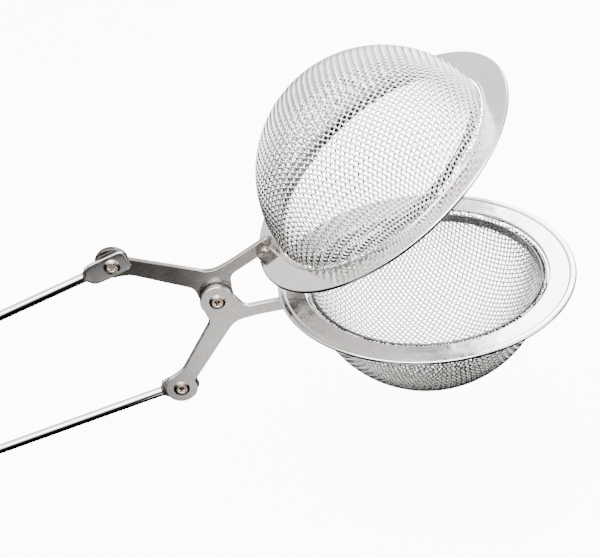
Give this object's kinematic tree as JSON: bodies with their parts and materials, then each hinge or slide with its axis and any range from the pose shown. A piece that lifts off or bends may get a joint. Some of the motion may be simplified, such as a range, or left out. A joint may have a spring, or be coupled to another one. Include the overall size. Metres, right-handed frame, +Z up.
{
  "type": "tea infuser",
  "caption": "Spring-handled tea infuser: woven-wire bowls with wide polished rims on crossed levers, part open, worked by squeezing a long U-shaped wire handle.",
  "frame": {"origin": "centre of the wire at the crown of the handle's bow, the closed end that is held and hung up", "axes": "+X from the handle to the bowls, +Z up with the lower bowl's rim level, Y along the pivot rivets"},
  "size_m": [0.1718, 0.061, 0.089],
  "materials": {
    "wire": "polished stainless wire",
    "lever": "bright stamped stainless, fine grain along the length",
    "rivet": "satin tubular rivet, darker in the bore",
    "washer": "plain stainless washer",
    "rim": "polished stainless sheet",
    "cloth": "plain-woven stainless wire cloth, 25 to 30 wires to the inch",
    "retainer": "stainless band, shaded inside the neck",
    "foot_rivet": "small domed rivet"
  },
  "bodies": {
    "grip_lower": {"handle_wire_lower": "wire", "handle_bow": "wire", "rear_rivet_lower": "rivet"},
    "grip_upper": {"handle_wire_upper": "wire", "rear_rivet_upper": "rivet"},
    "bowl_lower": {"lever_lower": "lever", "rim_lower": "rim", "cloth_lower": "cloth", "retainer_lower": "retainer", "foot_rivet_lower": "foot_rivet", "pivot_rivet": "rivet", "pivot_washer": "washer", "pivot_washer_back": "washer"},
    "bowl_upper": {"lever_upper": "lever", "rim_upper": "rim", "cloth_upper": "cloth", "retainer_upper": "retainer", "foot_rivet_upper": "foot_rivet"}
  },
  "joints": [
    {"name": "bow_flex", "type": "hinge", "parent": "grip_lower", "child": "grip_upper", "pos_m": [0.00718, 0, 0.00218], "axis": [0, 1, 0], "range_deg": [-5.75, 2.34], "stiffness_Nm_per_rad": 2, "deforming": ["handle_bow"]},
    {"name": "rear_lower", "type": "hinge", "parent": "grip_lower", "child": "bowl_lower", "pos_m": [0.08664, 0, 0.00894], "axis": [0, 1, 0], "range_deg": [-20.4, 8.32]},
    {"name": "rear_upper", "type": "hinge", "parent": "grip_upper", "child": "bowl_upper", "pos_m": [0.07697, 0, 0.04077], "axis": [0, 1, 0], "range_deg": [-8.32, 20.4]}
  ],
  "couplings": [
    {"joint": "rear_lower", "follows": "bow_flex", "ratio": 3.539},
    {"joint": "rear_upper", "follows": "bow_flex", "ratio": -3.539}
  ]
}
